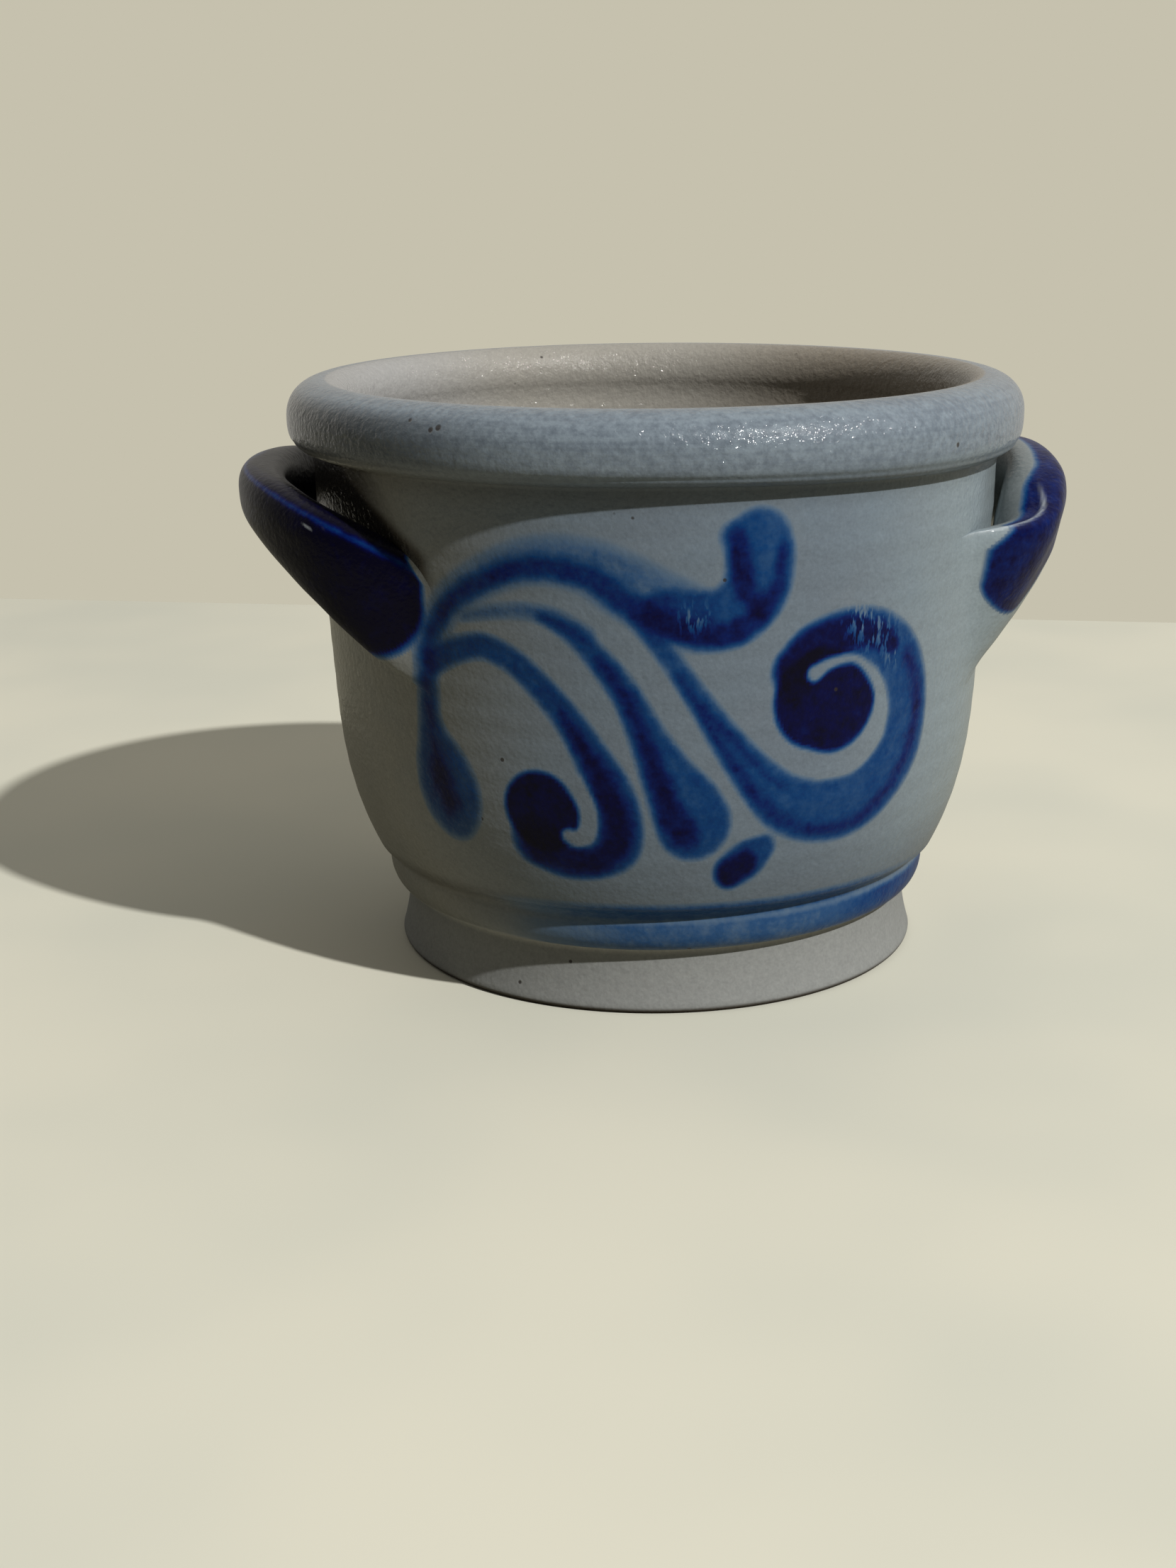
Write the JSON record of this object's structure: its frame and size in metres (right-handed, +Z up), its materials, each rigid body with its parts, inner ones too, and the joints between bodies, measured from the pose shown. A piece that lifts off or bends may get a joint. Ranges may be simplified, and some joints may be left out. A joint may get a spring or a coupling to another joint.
{
  "type": "salt pig",
  "caption": "Open salt pot of thrown, salt-glazed stoneware: a bulging bowl with a thick rolled rim, a ridge over a flared foot and drooping strap handles at its sides.",
  "frame": {"origin": "middle of the foot's flat underside, on the axis on which the pot was thrown", "axes": "+Z up along the pot's axis, +X through the right handle, -Y towards the decorated front"},
  "size_m": [0.104, 0.092, 0.0727],
  "materials": {
    "salt_glazed_stoneware": "gloss",
    "cobalt_glazed_strap": "gloss"
  },
  "bodies": {
    "root": {"thrown_pot": "salt_glazed_stoneware", "left_handle": "cobalt_glazed_strap", "right_handle": "cobalt_glazed_strap"}
  },
  "joints": []
}
